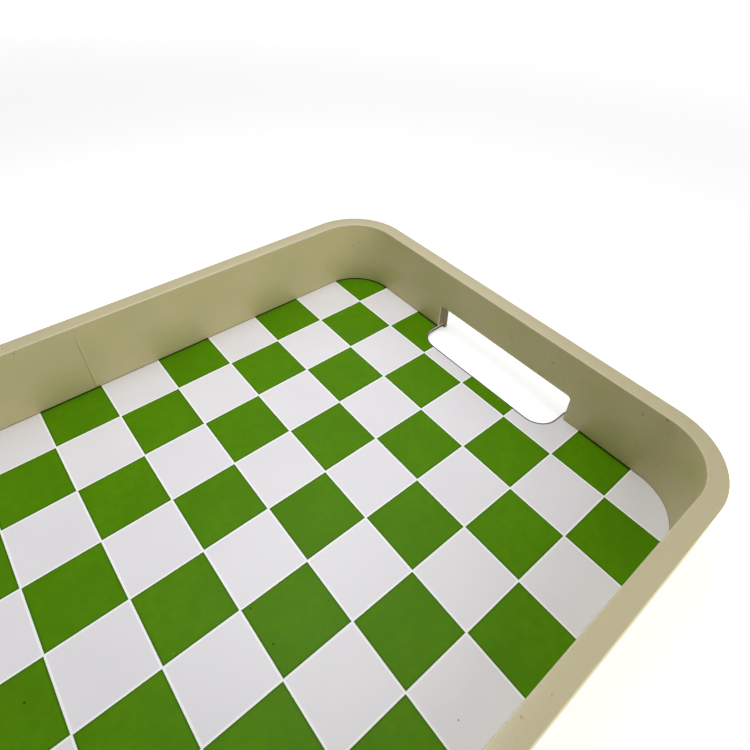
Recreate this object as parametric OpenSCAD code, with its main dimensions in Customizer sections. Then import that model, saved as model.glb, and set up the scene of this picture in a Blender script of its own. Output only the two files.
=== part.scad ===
// Serving tray: a painted bentwood frame, made of two U-shaped halves, around a
// printed panel that sits in a rebate under the walls.  Each end wall has a hand
// slot that is open below and meets a notch in the panel.
// Origin: centre of the base ring, on the surface that the tray stands on.
// +X runs along the tray, towards the right end, and +Z is up.

/* [Tray] */
// Outside length, along X
tray_l = 406; // [340:1:480]
// Outside width, along Y
tray_w = 280; // [240:1:340]
// Overall height
tray_h = 50; // [40:1:70]
// Outside radius of the bent corners
corner_r = 37; // [26:1:45]

/* [Wall] */
// Thickness of the wall
wall_t = 9; // [8:0.5:12]
// Radius on the two edges of the rim
rim_r = 1; // [0.5:0.1:2]

/* [Rebate] */
// Width of the rebate, from the wall's inside face outwards
rebate_w = 6; // [5:0.25:6.5]
// Height of the rebate, from the base upwards
rebate_h = 5; // [4:0.25:8]

/* [Hand slots] */
// Length of each slot, along the end wall
slot_l = 102; // [80:1:110]
// Distance of the slots from the middle of the end walls, along Y
slot_dy = -3; // [-6:0.5:6]
// Height of the slot's top edge above the base
slot_h = 22.5; // [18:0.5:26]
// Radius of the slot's two top corners
slot_r = 2; // [1:0.5:6]

/* [Panel notches] */
// Length of the notch in the panel at each slot, along the end wall
notch_l = 100; // [80:1:108]
// Distance of the notches from the middle of the end walls, along Y
notch_dy = -1.5; // [-6:0.5:6]
// How far a notch reaches in from the wall's inside face
notch_reach = 16; // [14:0.5:24]
// Radius of a notch's two corners
notch_r = 12; // [4:0.5:14]

/* [Panel] */
// Thickness of the whole panel
panel_t = 3; // [2.6:0.1:4]
// Gap between the panel's edge and the rebate's wall
panel_gap = 0.5; // [0.2:0.1:1]
// Thickness of the white face sheet
face_t = 1.3; // [0.8:0.1:1.6]
// Thickness of the dark backing sheet
backing_t = 0.2; // [0.1:0.05:0.4]
// Thickness of the printed squares
print_t = 0.1; // [0.05:0.01:0.15]

/* [Printed squares] */
// Pitch of the squares
square_pitch = 33.2; // [25:0.1:40]
// White line left between squares
line_w = 0.6; // [0.4:0.1:1.5]
// Number of columns, along X
columns = 12; // [8:1:16]
// Number of rows, along Y
rows = 8; // [6:1:12]
// Distance of the pattern from the tray's centre, along X
pattern_dx = 2.9; // [-5:0.1:5]
// Distance of the pattern from the tray's centre, along Y
pattern_dy = 1.8; // [-5:0.1:5]

/* [Fasteners] */
// Diameter of a seam dowel
dowel_d = 5; // [4:0.5:6]
// Length of a seam dowel
dowel_l = 30; // [20:1:40]
// Width across a staple's crown
crown_w = 6; // [5:0.5:8]
// Length of a staple's legs
leg_l = 12; // [9:0.5:15]
// Width of the staple wire
wire_w = 1.2; // [0.9:0.1:1.4]
// Thickness of the staple wire
wire_t = 0.6; // [0.5:0.05:0.8]

/* [Hidden] */
$fn = 96;
eps = 0.01;
through = 1;

sage = [0.68, 0.65, 0.50];
white = [0.93, 0.93, 0.94];
green = [0.30, 0.52, 0.04];
hardboard = [0.24, 0.17, 0.12];
backing = [0.12, 0.10, 0.09];
beech = [0.80, 0.66, 0.46];
steel = [0.72, 0.72, 0.74];

inside_l = tray_l - 2 * wall_t;
inside_w = tray_w - 2 * wall_t;
inside_r = corner_r - wall_t;
arm_l = tray_l / 2 - corner_r;
end_l = tray_w - 2 * corner_r;
seam_y = (tray_w - wall_t) / 2;
dowel_z = [for (part = [1, 3]) rebate_h + (tray_h - rebate_h) * part / 4];

panel_edge = rebate_w - panel_gap;
panel_z = rebate_h - panel_t;
board_z = panel_z + backing_t;
board_t = panel_t - backing_t - face_t - print_t;
staple_inset = panel_edge / 2;
staple_x = [for (part = [1, 2.5]) arm_l * part / 3];
staple_y = [for (side = [-1, 1]) (side * (end_l + slot_l) / 2 + slot_dy) / 2];

// ---- shapes that repeat ----

// Rounded rectangle centred on the origin
module rounded_rect(l, w, r) {
    square([l - 2 * r, w], center = true);
    square([l, w - 2 * r], center = true);
    for (x = [-1, 1], y = [-1, 1])
        translate([x * (l / 2 - r), y * (w / 2 - r)]) circle(r);
}

// Section of the wall: outside face at x = 0, inside face at x = -wall_t
module wall_section() {
    translate([-wall_t, 0]) difference() {
        union() {
            square([wall_t, tray_h - rim_r]);
            translate([rim_r, 0]) square([wall_t - 2 * rim_r, tray_h]);
            for (x = [rim_r, wall_t - rim_r])
                translate([x, tray_h - rim_r]) circle(rim_r, $fn = 48);
        }
        translate([-eps, -eps]) square([rebate_w + eps, rebate_h + eps]);
    }
}

// Straight stretch of wall along Y, centred on the origin, outside face towards +X
module straight_wall(length) {
    translate([0, length / 2, 0]) rotate([90, 0, 0]) linear_extrude(length) wall_section();
}

// U-shaped half of the frame, open towards -X, before anything is cut in it
module bent_half() {
    translate([tray_l / 2, 0, 0]) straight_wall(end_l);
    for (side = [0, 1]) mirror([0, side, 0]) {
        translate([arm_l, end_l / 2, 0])
            rotate_extrude(angle = 90) translate([corner_r, 0]) wall_section();
        translate([arm_l / 2, tray_w / 2, 0]) rotate([0, 0, 90]) straight_wall(arm_l);
    }
}

// Cutter for the slot in the right end wall: open below, round at its top corners
module wall_slot() {
    translate([inside_l / 2 - through, slot_dy, 0]) rotate([90, 0, 90])
        linear_extrude(wall_t + 2 * through) {
            translate([-slot_l / 2, -through]) square([slot_l, slot_h - slot_r + through]);
            translate([-slot_l / 2 + slot_r, 0]) square([slot_l - 2 * slot_r, slot_h]);
            for (y = [-1, 1])
                translate([y * (slot_l / 2 - slot_r), slot_h - slot_r]) circle(slot_r);
        }
}

// Outline of the notch in the panel's right end, drawn as far again past the panel's edge
module panel_notch() {
    cut_l = 2 * (notch_reach + rebate_w + through);
    translate([inside_l / 2 - notch_reach + cut_l / 2, notch_dy])
        rounded_rect(cut_l, notch_l, notch_r);
}

// Outline of the panel and of every sheet in it
module panel_outline() {
    difference() {
        rounded_rect(inside_l + 2 * panel_edge, inside_w + 2 * panel_edge,
                     inside_r + panel_edge);
        for (end = [0, 1]) mirror([end, 0]) panel_notch();
    }
}

// One sheet of the panel, with the staples' holes
module panel_layer(z, thickness) {
    difference() {
        translate([0, 0, z]) linear_extrude(thickness) panel_outline();
        staples();
    }
}

// Two dowels across each seam of the frame
module dowels() {
    for (side = [-1, 1], z = dowel_z)
        translate([-dowel_l / 2, side * seam_y, z]) rotate([0, 90, 0])
            cylinder(d = dowel_d, h = dowel_l, $fn = 48);
}

// Staple driven upwards, its crown along X and flush with the panel's underside
module staple() {
    translate([-crown_w / 2, -wire_w / 2, 0]) cube([crown_w, wire_w, wire_t]);
    for (x = [-crown_w / 2, crown_w / 2 - wire_t])
        translate([x, -wire_w / 2, 0]) cube([wire_t, wire_w, leg_l]);
}

// Four staples along each long side and one at either end of each hand slot
module staples() {
    translate([0, 0, panel_z]) for (end = [-1, 1]) {
        for (side = [-1, 1], x = staple_x)
            translate([end * x, side * (inside_w / 2 + staple_inset), 0]) staple();
        for (y = staple_y)
            translate([end * (inside_l / 2 + staple_inset), y, 0]) rotate([0, 0, 90]) staple();
    }
}

// Left edge of column i and lower edge of row j; the outermost squares run off the panel
function column_x(i) = i <= 0 ? -tray_l / 2 : i >= columns ? tray_l / 2
    : (i - columns / 2) * square_pitch + pattern_dx;
function row_y(j) = j <= 0 ? -tray_w / 2 : j >= rows ? tray_w / 2
    : (j - rows / 2) * square_pitch + pattern_dy;

// ---- the pieces ----

module frame_half_right() {
    color(sage) difference() {
        bent_half();
        wall_slot();
        dowels();
        staples();
    }
}

module frame_half_left() {
    color(sage) mirror([1, 0, 0]) frame_half_right();
}

module seam_dowels() {
    color(beech) dowels();
}

module floor_board() {
    color(hardboard) panel_layer(board_z, board_t);
}

module face_sheet() {
    color(white) panel_layer(board_z + board_t, face_t);
}

module printed_squares() {
    color(green) intersection() {
        panel_layer(rebate_h - print_t, print_t);
        for (i = [0 : columns - 1], j = [0 : rows - 1]) if ((i + j) % 2 == 0)
            translate([column_x(i) + line_w / 2, row_y(j) + line_w / 2, 0])
                cube([column_x(i + 1) - column_x(i) - line_w,
                      row_y(j + 1) - row_y(j) - line_w, tray_h]);
    }
}

module backing_sheet() {
    color(backing) panel_layer(panel_z, backing_t);
}

module panel_staples() {
    color(steel) staples();
}

frame_half_right();
frame_half_left();
seam_dowels();
floor_board();
face_sheet();
printed_squares();
backing_sheet();
panel_staples();
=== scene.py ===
"""Looks of a painted wooden serving tray with a chequered panel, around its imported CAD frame.

Everything is in metres in the row's frame: +X towards the right end, +Z up, the tray standing on z = 0.
The panel's sheets and squares, its core and the dowels are the CAD solids with materials.  The bent
frame halves and the staples are rebuilt here with softened edges, and the glued seams get their filler.
"""
import math

import bmesh
import bpy
from mathutils import Euler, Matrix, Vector, noise


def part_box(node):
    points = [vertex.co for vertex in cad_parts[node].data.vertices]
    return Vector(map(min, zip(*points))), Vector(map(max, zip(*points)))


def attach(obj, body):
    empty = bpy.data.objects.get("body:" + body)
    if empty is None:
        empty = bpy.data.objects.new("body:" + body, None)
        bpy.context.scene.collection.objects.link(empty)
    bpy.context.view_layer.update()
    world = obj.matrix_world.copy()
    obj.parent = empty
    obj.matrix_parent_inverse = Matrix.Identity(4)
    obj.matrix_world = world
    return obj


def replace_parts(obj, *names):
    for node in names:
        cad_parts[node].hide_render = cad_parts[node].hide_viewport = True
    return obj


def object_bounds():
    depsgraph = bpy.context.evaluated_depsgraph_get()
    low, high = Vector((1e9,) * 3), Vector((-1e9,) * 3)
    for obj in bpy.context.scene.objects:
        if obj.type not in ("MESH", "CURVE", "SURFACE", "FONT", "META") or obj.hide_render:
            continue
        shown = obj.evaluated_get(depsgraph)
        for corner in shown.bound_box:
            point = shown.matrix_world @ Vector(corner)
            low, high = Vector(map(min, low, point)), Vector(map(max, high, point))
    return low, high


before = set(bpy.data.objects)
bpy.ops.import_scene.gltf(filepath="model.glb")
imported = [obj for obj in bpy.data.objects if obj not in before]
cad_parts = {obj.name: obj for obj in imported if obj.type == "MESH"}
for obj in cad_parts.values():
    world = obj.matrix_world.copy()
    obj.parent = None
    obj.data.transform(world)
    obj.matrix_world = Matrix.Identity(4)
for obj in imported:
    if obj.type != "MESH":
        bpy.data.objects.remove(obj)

CAD_LOW, CAD_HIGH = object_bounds()
MM = 0.001

# ---- sizes: from the frame where it gives them, otherwise the CAD source's ----

HALF_L, HALF_W, HEIGHT = CAD_HIGH
CORNER_R = 37 * MM                                 # outside radius of the bent corners
WALL = 9 * MM
LIP = 3 * MM                                       # wall left outside the rebate
REBATE_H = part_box("printed_squares")[1].z          # the panel's top meets the rebate's ceiling
PANEL_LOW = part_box("backing_sheet")[0].z
ARM_L = HALF_L - CORNER_R                          # straight part of a long wall, from its seam
END_HALF = HALF_W - CORNER_R                       # and half of an end wall's
SLOT_L, SLOT_H, SLOT_R = 102 * MM, 22.5 * MM, 2 * MM
SLOT_Y = -3 * MM
PITCH = 33.2 * MM
PATTERN = Vector((2.9, 1.8)) * MM                  # the pattern's shift from the tray's centre
NOTCH_CENTRE = Vector((201, -1.5)) * MM            # the panel's notch, a rounded rectangle
NOTCH_HALF = Vector((23, 50)) * MM
NOTCH_R = 12 * MM

# ---- sizes of what is rebuilt here ----

RIM_R = 0.5 * MM                                   # painted edges of the rim, sharper than the CAD's
EDGE_R = 0.45 * MM                                 # painted edges of the slot and the base
BUTT_EDGE = 0.5                                    # share of EDGE_R on the seams' butt ends
SAWN_EDGE = 0.6                                    # and on the slot's two ends


def srgb(red, green, blue):
    """Linear colour with alpha from three 8-bit values."""
    def linear(value):
        value /= 255
        return value / 12.92 if value <= 0.04045 else ((value + 0.055) / 1.055) ** 2.4
    return (linear(red), linear(green), linear(blue), 1)


# ---- materials ----

class Tree:
    """One material's nodes, with short calls for the few kinds used here."""

    def __init__(self, name):
        self.material = bpy.data.materials.new(name)
        self.material.use_nodes = True
        self.nodes = self.material.node_tree.nodes
        self.links = self.material.node_tree.links
        self.shader = self.nodes["Principled BSDF"]

    def set(self, node, socket, value):
        """Link a socket to a value that is a socket itself, and set it to any other."""
        target = node.inputs[socket]
        if isinstance(value, bpy.types.NodeSocket):
            self.links.new(value, target)
        else:
            target.default_value = value

    def add(self, kind, sockets, **settings):
        node = self.nodes.new("ShaderNode" + kind)
        for key, value in settings.items():
            setattr(node, key, value)
        for socket, value in sockets.items():
            self.set(node, socket, value)
        return node

    def math(self, operation, *values):
        return self.add("Math", dict(enumerate(values)), operation=operation).outputs[0]

    def product(self, first, *others):
        for other in others:
            first = self.math("MULTIPLY", first, other)
        return first

    def place(self):
        """Place on the object, in metres."""
        return self.add("TexCoord", {}).outputs["Object"]

    def parts(self, vector):
        return self.add("SeparateXYZ", {0: vector}).outputs

    def vector(self, *parts):
        return self.add("CombineXYZ", dict(enumerate(parts))).outputs[0]

    def scaled(self, vector, scale):
        return self.add("VectorMath", {0: vector, 1: scale}, operation="MULTIPLY").outputs[0]

    def noise(self, vector, scale, detail=2, roughness=0.5):
        sockets = {"Vector": vector, "Scale": scale, "Detail": detail, "Roughness": roughness}
        return self.add("TexNoise", sockets).outputs["Fac"]

    def between(self, value, low, high, start=0.0, end=1.0):
        """Smooth step from start to end as value goes from low to high."""
        sockets = {"Value": value, "From Min": low, "From Max": high, "To Min": start, "To Max": end}
        return self.add("MapRange", sockets, interpolation_type="SMOOTHSTEP").outputs[0]

    def mix(self, factor, first, second):
        """Colour that goes from first to second as factor goes from 0 to 1."""
        sockets = {"Factor": factor, 6: first, 7: second}
        return self.add("Mix", sockets, data_type="RGBA").outputs[2]

    def specks(self, vector, per_metre, size, share, seed):
        """Mask of scattered round specks.

        A metre holds per_metre cells, share is how many of the cells have a speck, and size is the
        largest speck's radius in cells."""
        moved = self.add("VectorMath", {0: vector, 1: (seed, seed * 0.7, seed * 0.3)}).outputs[0]
        cells = self.add("TexVoronoi", {"Vector": moved, "Scale": per_metre})
        chance = self.parts(cells.outputs["Color"])[0]
        radius = self.product(self.between(chance, 1 - share, 1), size)
        inside = self.math("SUBTRACT", radius, cells.outputs["Distance"])
        return self.between(inside, 0, size * 0.4)

    def bump(self, height, distance, under=None):
        """Normal from a height between 0 and 1, which stands for a distance in metres."""
        sockets = {"Height": height, "Distance": distance, "Strength": 1.0}
        if under is not None:
            sockets["Normal"] = under
        return self.add("Bump", sockets).outputs[0]

    def finish(self, colour, roughness, normal=None, **uniform):
        """Connect the shader, and set its uniform values, given as Socket_Name=value."""
        self.set(self.shader, "Base Color", colour)
        self.set(self.shader, "Roughness", roughness)
        if normal is not None:
            self.set(self.shader, "Normal", normal)
        for socket, value in uniform.items():
            self.shader.inputs[socket.replace("_", " ")].default_value = value
        return self.material


def length(t, parts):
    """Length of a vector of two parts."""
    squares = [t.math("MULTIPLY", part, part) for part in parts]
    return t.math("SQRT", t.math("ADD", *squares))


def line_distance(t, x, y):
    """Distance in metres to the nearest line of the printed pattern."""
    gaps = []
    for place, shift in ((x, PATTERN.x), (y, PATTERN.y)):
        moved = t.math("SUBTRACT", place, shift)
        gaps.append(t.math("ABSOLUTE", t.math("PINGPONG", moved, PITCH / 2)))
    return t.math("MINIMUM", *gaps)


def wall_depth(t, x, y):
    """Distance in metres from the wall's outside face inwards, on the straights and round the bends."""
    past = [t.math("SUBTRACT", t.math("ABSOLUTE", value), limit)
            for value, limit in ((x, ARM_L), (y, END_HALF))]
    outside = [t.math("MAXIMUM", value, 0.0) for value in past]
    return t.math("SUBTRACT", CORNER_R, length(t, outside))


def notch_distance(t, x, y):
    """Distance in metres from the notches' edges, on the panel."""
    centred = (t.math("SUBTRACT", t.math("ABSOLUTE", x), NOTCH_CENTRE.x),
               t.math("SUBTRACT", y, NOTCH_CENTRE.y))
    past = [t.math("SUBTRACT", t.math("ABSOLUTE", value), half - NOTCH_R)
            for value, half in zip(centred, NOTCH_HALF)]
    outside = [t.math("MAXIMUM", value, 0.0) for value in past]
    return t.math("SUBTRACT", length(t, outside), NOTCH_R)


def wall_contact_shade(t, x, y, reach, core, strength):
    """Mask of the painted shade along the line where the panel meets the wall, left out across the hand
    slots.
    """
    line = t.between(wall_depth(t, x, y), WALL + reach, WALL + core, 0, strength)
    from_slot = t.math("ABSOLUTE", t.math("SUBTRACT", y, SLOT_Y))
    beside = t.between(from_slot, SLOT_L / 2 - 0.2 * MM, SLOT_L / 2 + 0.2 * MM)
    along = t.between(t.math("ABSOLUTE", x), ARM_L + 5 * MM, ARM_L)
    return t.product(line, t.math("MAXIMUM", beside, along))


def edge_paint_and_painted_light(t, colour, depth, z):
    """The rim's paint, yellower at its outer edge; painted light: a paler top, a highlight at its inner edge,
    and a highlight line at the foot.
    """
    # painted light: the rim's top paler than the walls
    on_rim = t.between(z, HEIGHT - 0.9 * MM, HEIGHT - 0.1 * MM)
    colour = t.mix(t.product(on_rim, 0.8), colour, srgb(197, 187, 156))
    outer_edge = t.between(depth, 0.9 * MM, 0.4 * MM, 0, 0.5)
    colour = t.mix(t.product(on_rim, outer_edge), colour, srgb(196, 184, 120))
    # painted highlight along the rim's inner edge
    inner_edge = t.between(depth, WALL - 0.8 * MM, WALL - 0.4 * MM, 0, 0.4)
    colour = t.mix(t.product(on_rim, inner_edge), colour, srgb(216, 206, 172))
    # painted highlight: a pale line along the foot of the wall's inside face
    inside_face = t.between(depth, WALL - 0.6 * MM, WALL - 0.3 * MM)
    low = t.between(z, REBATE_H + 1.0 * MM, REBATE_H + 0.5 * MM, 0, 0.5)
    return t.mix(t.product(inside_face, low), colour, srgb(232, 220, 165))


def sawn_mask(t, depth, z):
    """Mask of the slot's sawn faces, which lie inside the wall and no higher than the slot."""
    within = t.product(t.between(depth, 0.3 * MM, 0.9 * MM),
                       t.between(depth, WALL - 0.3 * MM, WALL - 0.9 * MM))
    return t.product(within, t.between(z, SLOT_H + 0.6 * MM, SLOT_H + 0.1 * MM, 0, 0.8))


def seam_line_and_bead_highlight(t, colour, x, z, fine):
    """Dark line in each seam, fading out towards the rim, and pale patches on the bead beside it, a painted
    highlight.
    """
    low = t.between(z, HEIGHT - 3 * MM, HEIGHT - 13 * MM)
    line = t.between(t.math("ABSOLUTE", x), 0.34 * MM, 0.10 * MM, 0, 0.30)
    colour = t.mix(t.product(low, line), colour, srgb(96, 90, 62))
    beside = t.product(t.between(x, 0.3 * MM, 0.7 * MM), t.between(x, 1.6 * MM, 1.1 * MM, 0, 0.5))
    # painted highlight: pale patches on the bead beside the seam
    bead_highlight = t.product(t.between(fine, 0.45, 0.6), beside, low)
    return t.mix(bead_highlight, colour, srgb(226, 220, 178))


def frame_paint():
    """Satin sage paint: streaks along the bent wood, orange peel, pits, scuffs, dark brown on the slot's sawn
    faces, and at the edges a paler rim top and highlights, all painted light.
    """
    t = Tree("frame_paint")
    place = t.place()
    x, y, z = t.parts(place)
    depth = wall_depth(t, x, y)
    squeezed = t.product(t.math("ADD", z, depth), 22.0)
    streaks = t.noise(t.vector(x, y, squeezed), 38, 4, 0.6)
    clouds = t.noise(place, 22, 2)
    fine = t.noise(place, 900, 2)
    pits = t.specks(place, per_metre=110, size=0.075, share=0.16, seed=3.1)
    marks = t.specks(t.scaled(place, (1, 1, 0.6)), per_metre=330, size=0.28, share=0.4, seed=6.4)
    scuffs = t.product(marks, t.between(t.noise(place, 15, 1), 0.60, 0.68, 0, 0.45))
    sawn = sawn_mask(t, depth, z)

    colour = t.mix(t.between(clouds, 0.3, 0.7), srgb(194, 185, 135), srgb(201, 190, 142))
    colour = t.mix(t.between(streaks, 0.35, 0.75, 0, 0.28), colour, srgb(187, 177, 126))
    # painted light: a paler rim top, and painted highlights at the rim's inner edge and the wall's foot
    colour = edge_paint_and_painted_light(t, colour, depth, z)
    colour = t.mix(sawn, colour, srgb(68, 58, 30))
    colour = t.mix(t.between(fine, 0.35, 0.7, 0, 0.14), colour, srgb(172, 162, 112))
    colour = t.mix(t.product(pits, 0.75), colour, srgb(104, 94, 60))
    colour = t.mix(scuffs, colour, srgb(136, 122, 70))
    # dark seam line, and a painted highlight on the bead beside it
    colour = seam_line_and_bead_highlight(t, colour, x, z, fine)

    height = t.math("ADD", t.product(streaks, 0.6), t.product(pits, -0.9))
    normal = t.bump(t.noise(place, 70, 1), 0.12 * MM)
    normal = t.bump(height, 0.03 * MM, normal)
    normal = t.bump(fine, 0.012 * MM, normal)
    roughness = t.math("ADD", t.between(streaks, 0.3, 0.8, 0.28, 0.38), t.product(sawn, 0.5))
    return t.finish(colour, roughness, normal, Specular_IOR_Level=0.5)


def green_print():
    """Printed green: fine mottling, a darker rim where the ink gathers, flecks, rubbed spots, a grey line at
    the notch, and painted shade along the wall.
    """
    t = Tree("green_print")
    place = t.place()
    x, y, _ = t.parts(place)
    line = line_distance(t, x, y)
    notch = notch_distance(t, x, y)
    mottle = t.noise(place, 260, 3, 0.65)
    clouds = t.noise(place, 34, 2)
    spots = t.specks(place, per_metre=380, size=0.34, share=0.45, seed=5.7)
    rubbed = t.product(spots, t.between(notch, 9 * MM, 1 * MM), 0.75)
    flecks = t.specks(place, per_metre=240, size=0.15, share=0.06, seed=4.3)
    dirt = t.specks(place, per_metre=150, size=0.09, share=0.07, seed=1.9)

    colour = t.mix(t.between(mottle, 0.3, 0.7), srgb(79, 132, 1), srgb(86, 138, 3))
    colour = t.mix(t.between(clouds, 0.35, 0.7, 0, 0.5), colour, srgb(75, 125, 2))
    colour = t.mix(t.between(line, 1.25 * MM, 0.75 * MM, 0, 0.55), colour, srgb(48, 92, 2))
    # painted shade where the green meets the wall
    colour = t.mix(wall_contact_shade(t, x, y, 1.5 * MM, 0.9 * MM, 0.88), colour, srgb(16, 40, 2))
    colour = t.mix(rubbed, colour, srgb(158, 160, 24))
    colour = t.mix(t.between(notch, 0.9 * MM, 0.5 * MM, 0, 0.8), colour, srgb(84, 86, 80))
    colour = t.mix(t.product(flecks, 0.5), colour, srgb(140, 152, 28))
    colour = t.mix(dirt, colour, srgb(40, 70, 4))

    normal = t.bump(t.noise(place, 45, 1), 0.05 * MM)
    normal = t.bump(t.noise(place, 1300, 2), 0.006 * MM, normal)
    roughness = t.between(mottle, 0.3, 0.75, 0.38, 0.48)
    return t.finish(colour, roughness, normal, Specular_IOR_Level=0.06)


def white_face():
    """White laminate: squares a shade greyer than the lines between them, dust, painted shade along the wall,
    and a dark band along the notch's edge.
    """
    t = Tree("white_face")
    place = t.place()
    x, y, z = t.parts(place)
    line = line_distance(t, x, y)
    notch = notch_distance(t, x, y)
    clouds = t.noise(place, 30, 2)
    on_top = t.between(z, REBATE_H - 0.6 * MM, REBATE_H - 0.3 * MM)
    # dark band on the top within about a millimetre of the notch's edge
    notch_band = t.product(on_top, t.between(notch, 1.1 * MM, 0.7 * MM, 0, 0.85))
    dust = t.specks(place, per_metre=110, size=0.07, share=0.08, seed=8.3)

    colour = t.mix(t.between(clouds, 0.3, 0.7), srgb(232, 230, 235), srgb(235, 233, 237))
    colour = t.mix(t.between(line, 0.75 * MM, 0.5 * MM), colour, srgb(254, 253, 255))
    # painted shade where the white meets the wall
    colour = t.mix(wall_contact_shade(t, x, y, 0.55 * MM, 0.1 * MM, 0.8), colour, srgb(150, 122, 104))
    colour = t.mix(t.between(notch, 0.3 * MM, 0.1 * MM, 0, 0.8), colour, srgb(186, 187, 186))
    colour = t.mix(notch_band, colour, srgb(66, 66, 70))
    colour = t.mix(t.product(dust, 0.8), colour, srgb(96, 90, 84))

    normal = t.bump(t.noise(place, 45, 1), 0.04 * MM)
    normal = t.bump(t.noise(place, 1500, 2), 0.005 * MM, normal)
    roughness = t.between(clouds, 0.3, 0.7, 0.34, 0.40)
    return t.finish(colour, roughness, normal, Specular_IOR_Level=0.3)


def hardboard():
    """Dark pressed fibre, seen only on the panel's cut edge."""
    t = Tree("hardboard")
    fibres = t.noise(t.scaled(t.place(), (1, 1, 4)), 900, 4, 0.7)
    colour = t.mix(t.between(fibres, 0.3, 0.7), srgb(28, 23, 18), srgb(62, 49, 38))
    return t.finish(colour, 0.85, t.bump(fibres, 0.05 * MM))


def dark_backing():
    """Matt dark backing foil: a leathery emboss, swept scuffs, a rubbed border, and a little dust."""
    t = Tree("dark_backing")
    place = t.place()
    x, y, _ = t.parts(place)
    grain = t.add("TexVoronoi", {"Vector": place, "Scale": 900}).outputs["Distance"]
    clouds = t.noise(place, 18, 3)
    swept = t.noise(t.scaled(place, (3.0, 60.0, 1.0)), 2.5, 4, 0.7)
    border = t.between(wall_depth(t, x, y), WALL + 9 * MM, WALL - 4 * MM, 0, 0.3)
    dust = t.specks(place, per_metre=160, size=0.09, share=0.10, seed=2.2)

    colour = t.mix(t.between(clouds, 0.35, 0.7), srgb(58, 49, 42), srgb(82, 71, 61))
    colour = t.mix(t.between(swept, 0.56, 0.72, 0, 0.35), colour, srgb(122, 113, 103))
    colour = t.mix(t.product(border, t.between(clouds, 0.3, 0.6)), colour, srgb(128, 118, 104))
    colour = t.mix(t.product(dust, 0.6), colour, srgb(150, 144, 136))
    return t.finish(colour, t.between(clouds, 0.3, 0.7, 0.52, 0.64), t.bump(grain, 0.05 * MM))


def dowel_wood():
    """Bare beech with short flecks along the dowels."""
    t = Tree("dowel_wood")
    flecks = t.noise(t.scaled(t.place(), (1, 12, 12)), 160, 3, 0.6)
    colour = t.mix(t.between(flecks, 0.35, 0.7), srgb(205, 170, 125), srgb(178, 138, 94))
    return t.finish(colour, 0.6, t.bump(flecks, 0.03 * MM))


def staple_steel():
    """Galvanised wire with drawing lines and dull spots."""
    t = Tree("staple_steel")
    place = t.place()
    lines = t.noise(t.scaled(place, (1, 1, 6)), 1800, 2)
    spots = t.noise(place, 500, 3)
    colour = t.mix(t.between(spots, 0.4, 0.7), srgb(196, 196, 200), srgb(158, 157, 160))
    roughness = t.between(spots, 0.3, 0.7, 0.28, 0.45)
    return t.finish(colour, roughness, t.bump(lines, 0.006 * MM), Metallic=1.0)


# ---- mesh helpers ----

def new_piece(name, bm, material):
    """Object from a bmesh, closed and smooth, riding on the tray's one body."""
    bmesh.ops.recalc_face_normals(bm, faces=bm.faces)
    mesh = bpy.data.meshes.new(name)
    bm.to_mesh(mesh)
    bm.free()
    mesh.shade_smooth()
    mesh.materials.append(material)
    piece = bpy.data.objects.new(name, mesh)
    bpy.context.scene.collection.objects.link(piece)
    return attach(piece, "root")


def add_bevel(piece, name, **settings):
    """Soften a piece's edges with a Bevel modifier that leaves its flat faces flat."""
    piece.data.set_sharp_from_angle(angle=math.radians(35))
    bevel = piece.modifiers.new(name, "BEVEL")
    for key, value in settings.items():
        setattr(bevel, key, value)
    bevel.harden_normals = True


def quarter(radius, steps, start, centre):
    """Points of a quarter circle in a plane, turning left from the angle start."""
    angles = [start + math.pi / 2 * step / steps for step in range(steps + 1)]
    return [(centre[0] + radius * math.cos(a), centre[1] + radius * math.sin(a)) for a in angles]


def spaced(start, end, step=0.5 * MM):
    """Places from start to end, both left out, about a step apart."""
    count = round(abs(end - start) / step)
    return [start + (end - start) * k / count for k in range(1, count)]


def join_rings(bm, rings):
    """Closed tube through rings of the same number of vertices, with a face across each end."""
    for ring, following in zip(rings, rings[1:]):
        for k in range(len(ring)):
            nxt = (k + 1) % len(ring)
            bm.faces.new((ring[k], ring[nxt], following[nxt], following[k]))
    for ring in (rings[0], rings[-1]):
        bm.faces.new(ring)


# ---- the bent frame ----

def rim_edges(steps=6):
    """The rim's rounded inner and outer edges, as (depth from the outside face, height) points."""
    inner = quarter(RIM_R, steps, 0, (WALL - RIM_R, HEIGHT - RIM_R))
    outer = quarter(RIM_R, steps, math.pi / 2, (RIM_R, HEIGHT - RIM_R))
    return inner, outer


def wall_section():
    """The wall's section as (depth, height) points: up inside, over the rim, down and under the lip."""
    inner, outer = rim_edges()
    return [(WALL, REBATE_H), *inner, *outer, (0, 0), (LIP, 0), (LIP, REBATE_H)]


SECTION = wall_section()
INSIDE_LOW, INSIDE_TOP = 0, 1                      # which of its points these are
OUTSIDE_TOP, OUTSIDE_LOW, LIP_IN, LIP_TOP = range(len(SECTION) - 4, len(SECTION))


def half_stations(steps=20):
    """Outside face of the right half as (point, outward normal), from the front seam to the rear one."""
    stations = [(Vector((0, -HALF_W)), Vector((0, -1)))]
    for start, centre_y in ((-math.pi / 2, -END_HALF), (0, END_HALF)):
        centre = Vector((ARM_L, centre_y))
        for x, y in quarter(1, steps, start, (0, 0)):
            stations.append((centre + Vector((x, y)) * CORNER_R, Vector((x, y))))
    stations.append((Vector((0, HALF_W)), Vector((0, 1))))
    return stations


def slot_outline(steps=6):
    """Top of the hand slot as (y, z), from its front end over to its rear end."""
    low, high = SLOT_Y - SLOT_L / 2, SLOT_Y + SLOT_L / 2
    top = SLOT_H - SLOT_R
    rear = quarter(SLOT_R, steps, 0, (high - SLOT_R, top))
    front = quarter(SLOT_R, steps, math.pi / 2, (low + SLOT_R, top))
    return list(reversed(rear + front))


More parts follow.
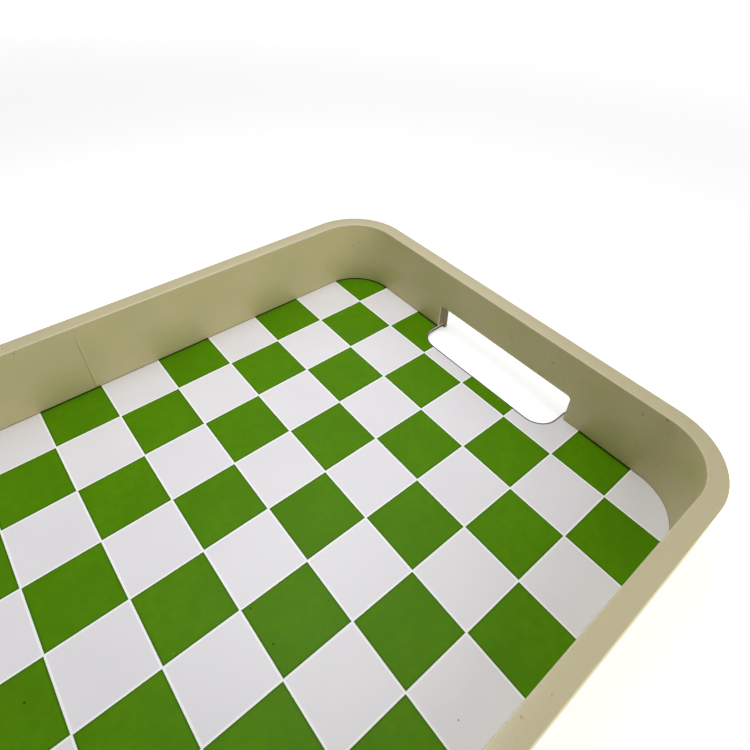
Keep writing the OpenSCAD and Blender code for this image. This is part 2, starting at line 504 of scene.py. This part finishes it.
class HalfMesh:
    """Mesh of one bent half while it is made; side is 1 for the right half and -1 for the left one."""

    def __init__(self, side):
        self.side = side
        self.bm = bmesh.new()
        self.weight = self.bm.edges.layers.float.new("bevel_weight_edge")

    def vertex(self, station, depth, height):
        """Vertex at a station of the outside face, a depth in from that face."""
        point, outward = station
        spot = point - outward * depth
        return self.bm.verts.new((self.side * spot.x, spot.y, height))

    def end_vertex(self, y, depth, height):
        """Vertex on the straight end wall."""
        return self.vertex((Vector((HALF_L, y)), Vector((1, 0))), depth, height)

    def face(self, *corners):
        self.bm.faces.new(corners)

    def soften(self, chain, share=1.0):
        """Give the edges along a chain of vertices a share of the bevel's width."""
        for first, second in zip(chain, chain[1:]):
            self.bm.edges.get((first, second))[self.weight] = share

    def sweep(self, rings, end_stretch):
        """Faces from ring to ring, without those that the slot cuts, and across the butt ends."""
        cut = {INSIDE_LOW, OUTSIDE_TOP, OUTSIDE_LOW, LIP_IN, LIP_TOP}
        for number, (ring, following) in enumerate(zip(rings, rings[1:])):
            for k in range(len(ring)):
                nxt = (k + 1) % len(ring)
                if number != end_stretch or k not in cut:
                    self.face(ring[k], ring[nxt], following[nxt], following[k])
        for ring in (rings[0], rings[-1]):
            self.face(*ring)

    def slot_end(self, ring, end, inner, outer):
        """Sawn face at one end of the slot, and the base from there to the nearest ring.

        inner and outer are the slot's two lowest vertices on either face of the wall, lowest first."""
        foot = self.end_vertex(end, LIP, 0)
        step = self.end_vertex(end, LIP, REBATE_H)
        self.face(inner[0], inner[1], outer[1], outer[0], foot, step)
        self.face(ring[INSIDE_LOW], inner[0], step, ring[LIP_TOP])
        self.face(ring[LIP_TOP], step, foot, ring[LIP_IN])
        self.face(ring[LIP_IN], foot, outer[0], ring[OUTSIDE_LOW])
        self.soften([outer[0], foot, step], SAWN_EDGE)
        self.soften([step, inner[0]])
        self.soften([ring[INSIDE_LOW], inner[0]])
        self.soften([ring[LIP_IN], foot])
        self.soften([ring[OUTSIDE_LOW], outer[0]])

    def end_wall(self, before, after):
        """The end wall between two rings: its two faces, drawn round the slot, and the slot's own faces."""
        outline = slot_outline()
        ends = (outline[0][0], outline[-1][0])

        def slot_edge(depth, low):
            spots = [(ends[0], low), *outline, (ends[1], low)]
            return [self.end_vertex(y, depth, z) for y, z in spots]

        inner, outer = slot_edge(WALL, REBATE_H), slot_edge(0, 0)
        self.face(before[INSIDE_LOW], *inner,
                  after[INSIDE_LOW], after[INSIDE_TOP], before[INSIDE_TOP])
        self.face(before[OUTSIDE_LOW], *outer,
                  after[OUTSIDE_LOW], after[OUTSIDE_TOP], before[OUTSIDE_TOP])
        for first in range(1, len(outline)):
            self.face(inner[first], inner[first + 1], outer[first + 1], outer[first])
        self.slot_end(before, ends[0], inner[:2], outer[:2])
        self.slot_end(after, ends[1], inner[:-3:-1], outer[:-3:-1])
        self.soften(inner)
        self.soften(outer)

    def soften_base(self, rings, end_stretch):
        """Soft edges along the base beside the end wall, and round the butt ends."""
        for number, (ring, following) in enumerate(zip(rings, rings[1:])):
            if number != end_stretch:
                for k in (INSIDE_LOW, OUTSIDE_LOW, LIP_IN):
                    self.soften([ring[k], following[k]])
        for ring in (rings[0], rings[-1]):
            self.soften([*ring, ring[0]], BUTT_EDGE)


def frame_half(name, side, material):
    """One bent half of the frame, with the slot in its end wall."""
    half = HalfMesh(side)
    stations = half_stations()
    rings = [[half.vertex(station, *point) for point in SECTION] for station in stations]
    end_stretch = len(stations) // 2 - 1
    half.sweep(rings, end_stretch)
    half.end_wall(rings[end_stretch], rings[end_stretch + 1])
    half.soften_base(rings, end_stretch)

    piece = new_piece(name, half.bm, material)
    add_bevel(piece, "soft_edges", limit_method="WEIGHT", width=EDGE_R, segments=3,
              use_clamp_overlap=False)
    return piece


# ---- the seams' filler ----

COLUMNS = [0.12 * MM * k for k in range(-18, 23)]  # the strip's vertices across the seam, along X
STRIP_BACK = 0.3 * MM                              # depth of its back inside the wall
STRIP_EDGE = 0.02 * MM                             # depth at which its surface runs out beside the seam
STRIP_BASE = 0.05 * MM                             # depth to which the sides of its middle fall
LINE_HALF = 0.24 * MM                              # half of the line's width
LINE_DEPTH, LINE_RISE = 0.08 * MM, 0.012 * MM      # its depth low in the seam, and its height on the rim
BEAD_AT, BEAD_H = 0.85 * MM, 0.12 * MM             # the bead's distance from the line, and its height
FADE_END, FADE = 3 * MM, 8 * MM                    # depth below the rim where the fade ends, and its length


def seam_contour():
    """Surface of the wall at a seam, from the inside foot over the rim to the outside foot.

    Each entry is a (depth, height) place and the outward direction there."""
    inner, outer = rim_edges()
    contour = [((WALL, z), (1, 0)) for z in spaced(REBATE_H + 0.4 * MM, HEIGHT - RIM_R)]
    for depth, z in inner:
        contour.append(((depth, z), ((depth - WALL + RIM_R) / RIM_R, (z - HEIGHT + RIM_R) / RIM_R)))
    contour += [((depth, HEIGHT), (0, 1)) for depth in spaced(WALL - RIM_R, RIM_R)]
    for depth, z in outer:
        contour.append(((depth, z), ((depth - RIM_R) / RIM_R, (z - HEIGHT + RIM_R) / RIM_R)))
    return contour + [((0, z), (-1, 0)) for z in spaced(HEIGHT - RIM_R, 0.8 * MM)]


def seam_profile(travel, faded, seed):
    """The strip's surface across the seam, as (x, height above the wall) points.

    A sunk line runs in the middle and a lumpy bead beside it.  As faded goes from 0 to 1 the line fills
    up, and the bead sinks to a quarter of its height."""
    def wander(*place):
        return noise.noise(Vector(place))

    line = LINE_RISE * faded - LINE_DEPTH * (1 - faded)
    bead_at = BEAD_AT + 0.2 * MM * wander(travel * 0.35, seed, 0)
    bead = (BEAD_H + 0.07 * MM * wander(travel * 0.8, seed, 5)) * (1 - 0.75 * faded)
    profile = []
    for x in COLUMNS:
        lump = max(0, wander(x / (0.5 * MM), travel * 0.9, seed)) * 0.12 * MM * (1 - faded)
        crest = (bead + lump) * math.exp(-((x - bead_at) / (0.45 * MM)) ** 2)
        middle = (line + STRIP_BASE) * math.exp(-(x / (0.5 * MM)) ** 4) - STRIP_BASE
        height = max(crest - STRIP_EDGE, middle)
        if abs(x) < LINE_HALF:
            height = min(height, line)
        profile.append((x, height))
    return profile


def seam_filler(name, side, seed, material):
    """Filler and paint in one seam: level over the rim, with a sunk line and a bead lower down."""
    back = [(x, -STRIP_BACK) for x in reversed(COLUMNS)]
    bm = bmesh.new()
    rings = []
    for row, ((depth, z), outward) in enumerate(seam_contour()):
        faded = min(1, max(0, (z - HEIGHT + FADE_END + FADE) / FADE))
        section = seam_profile(row * 0.5, faded, seed) + back
        rings.append([bm.verts.new((x, side * (HALF_W - depth - outward[0] * height),
                                    z + outward[1] * height)) for x, height in section])
    join_rings(bm, rings)
    return new_piece(name, bm, material)


# ---- the staples ----

HALF_WIRE, HALF_WIDTH = 0.3 * MM, 0.6 * MM         # half of the flat wire's thickness and width
HALF_CROWN, LEG = 3 * MM, 12 * MM
SHOULDER_R = 0.65 * MM                             # bend from the crown into a leg
POINT = 1.2 * MM                                   # length over which a leg's end is sharpened
STAPLE_INSET = 2.75 * MM                           # from the wall's inside face outwards to the staples


def staple_spots():
    """Place and crown direction of the twelve staples in the panel's edge."""
    spots = []
    for end in (-1, 1):
        for side in (-1, 1):
            for part in (1, 2.5):
                long_side = Vector((end * ARM_L * part / 3, side * (HALF_W - WALL + STAPLE_INSET)))
                spots.append((long_side, Vector((1, 0))))
            y = (side * (END_HALF + SLOT_L / 2) + SLOT_Y) / 2
            spots.append((Vector((end * (HALF_L - WALL + STAPLE_INSET), y)), Vector((0, 1))))
    return spots


def staple_path():
    """A staple's middle line as (place along the crown, height, half the wire's thickness there)."""
    across = HALF_CROWN - HALF_WIRE
    shoulder = HALF_WIRE + SHOULDER_R
    sharp = HALF_WIRE * 0.2
    path = [(-across, LEG, sharp), (-across, LEG - POINT, HALF_WIRE)]
    for centre, start in ((-across + SHOULDER_R, math.pi), (across - SHOULDER_R, math.pi * 1.5)):
        path += [(u, w, HALF_WIRE) for u, w in quarter(SHOULDER_R, 5, start, (centre, shoulder))]
    return path + [(across, LEG - POINT, HALF_WIRE), (across, LEG, sharp)]


def staples(material):
    """Wire staples bent round at their shoulders, driven up flush with the panel's underside."""
    path = staple_path()
    bm = bmesh.new()
    for spot, along in staple_spots():
        aside = Vector((-along.y, along.x))
        rings = []
        for k, (u, w, thick) in enumerate(path):
            before, after = path[max(k - 1, 0)], path[min(k + 1, len(path) - 1)]
            travel = Vector((after[0] - before[0], after[1] - before[1])).normalized()
            ring = []
            for v, out in ((-1, -1), (1, -1), (1, 1), (-1, 1)):
                flat = spot + along * (u - travel.y * thick * out) + aside * v * HALF_WIDTH
                ring.append(bm.verts.new((*flat, PANEL_LOW + w + travel.x * thick * out)))
            rings.append(ring)
        join_rings(bm, rings)
    piece = new_piece("staples", bm, material)
    add_bevel(piece, "drawn_edges", limit_method="ANGLE", width=0.14 * MM, segments=2,
              angle_limit=math.radians(40))
    return piece


# ---- scene ----

SURROUND = 0.12                                    # the white surround's light on the tray
FLOOR_REACH = 12.0
FLOOR_GLOW = (0.3, 1.6, 0.55, 0.92)                # from 0.3 to 1.6 m away it rises from 0.55 to 0.92
LIGHTS = [                                         # name, place, diameter, power in watts
    ("overhead", (0.1, 0.08, 0.42), 0.3, 1.08),
    ("front", (0.1, -1.1, 1.3), 1.0, 1.25),
    ("front_low", (0.15, -1.3, 0.45), 0.8, 6.0),
    ("front_near", (0.25, -0.35, 0.35), 0.3, 0.28),
    ("rear", (0.9, 0.9, 1.2), 1.0, 3.5),
    ("rear_near", (-0.3, 0.35, 0.45), 0.3, 0.26),
]


def pale_floor():
    """White with a glow of its own, so that it stays pale, and see-through from below."""
    t = Tree("pale_floor")
    away = t.add("VectorMath", {0: t.place()}, operation="LENGTH").outputs["Value"]
    t.set(t.shader, "Emission Strength", t.between(away, *FLOOR_GLOW))
    t.finish(srgb(238, 238, 238), 0.9, Specular_IOR_Level=0.1, Emission_Color=(1, 1, 1, 1))
    see_through = t.add("BsdfTransparent", {}).outputs[0]
    behind = t.add("NewGeometry", {}).outputs["Backfacing"]
    both = t.add("MixShader", {0: behind, 1: t.shader.outputs[0], 2: see_through}).outputs[0]
    t.links.new(both, t.nodes["Material Output"].inputs["Surface"])
    return t.material


def add_floor():
    """One square of floor under the tray."""
    corners = [(x * FLOOR_REACH, y * FLOOR_REACH, 0) for x, y in ((-1, -1), (1, -1), (1, 1), (-1, 1))]
    mesh = bpy.data.meshes.new("floor")
    mesh.from_pydata(corners, [], [(0, 1, 2, 3)])
    mesh.materials.append(pale_floor())
    floor = bpy.data.objects.new("floor", mesh)
    bpy.context.scene.collection.objects.link(floor)


def add_surround():
    """White surround: the camera sees it at full strength, and the tray gets a little of its light."""
    world = bpy.data.worlds.new("surround")
    bpy.context.scene.world = world
    world.use_nodes = True
    nodes, links = world.node_tree.nodes, world.node_tree.links
    background = nodes["Background"]
    background.inputs["Color"].default_value = (1, 1, 1, 1)
    rays = nodes.new("ShaderNodeLightPath")
    strength = nodes.new("ShaderNodeMapRange")
    strength.inputs["To Min"].default_value = SURROUND
    strength.inputs["To Max"].default_value = 1.0
    links.new(rays.outputs["Is Camera Ray"], strength.inputs["Value"])
    links.new(strength.outputs[0], background.inputs["Strength"])


def add_lights():
    """Soft round lights, all facing the tray's centre."""
    for name, place, size, power in LIGHTS:
        lamp = bpy.data.lights.new(name, "AREA")
        lamp.shape = "DISK"
        lamp.size = size
        lamp.energy = power
        light = bpy.data.objects.new(name, lamp)
        light.location = place
        light.rotation_euler = (-Vector(place)).to_track_quat("-Z", "Y").to_euler()
        bpy.context.scene.collection.objects.link(light)


def add_camera():
    """Camera above the tray's front edge, looking over the panel at the rear right corner."""
    lens = bpy.data.cameras.new("camera")
    lens.lens = 26.86
    lens.sensor_width = 36
    lens.shift_x = -0.0253
    lens.shift_y = -0.0733
    lens.clip_start = 0.01
    camera = bpy.data.objects.new("camera", lens)
    camera.location = Vector((-20.2, -142.5, 249.5)) * MM
    azimuth, elevation, roll = (math.radians(angle) for angle in (-42.36, 40.23, 2.85))
    aim = Euler((math.pi / 2 - elevation, 0, azimuth)).to_quaternion()
    camera.rotation_mode = "QUATERNION"
    camera.rotation_quaternion = aim @ Euler((0, 0, roll)).to_quaternion()
    bpy.context.scene.collection.objects.link(camera)
    bpy.context.scene.camera = camera


def dress(node, material):
    """Give a CAD node's object one material."""
    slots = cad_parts[node].data.materials
    slots.clear()
    slots.append(material)


bpy.context.scene.view_settings.view_transform = "Standard"
add_camera()
add_floor()
add_surround()
add_lights()

paint = frame_paint()
dress("printed_squares", green_print())
dress("face_sheet", white_face())
dress("floor_board", hardboard())
dress("backing_sheet", dark_backing())
dress("seam_dowels", dowel_wood())

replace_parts(frame_half("frame_right", 1, paint), "frame_half_right")
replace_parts(frame_half("frame_left", -1, paint), "frame_half_left")
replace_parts(staples(staple_steel()), "panel_staples")
seam_filler("seam_filler_rear", 1, 2.0, paint)
seam_filler("seam_filler_front", -1, 7.0, paint)
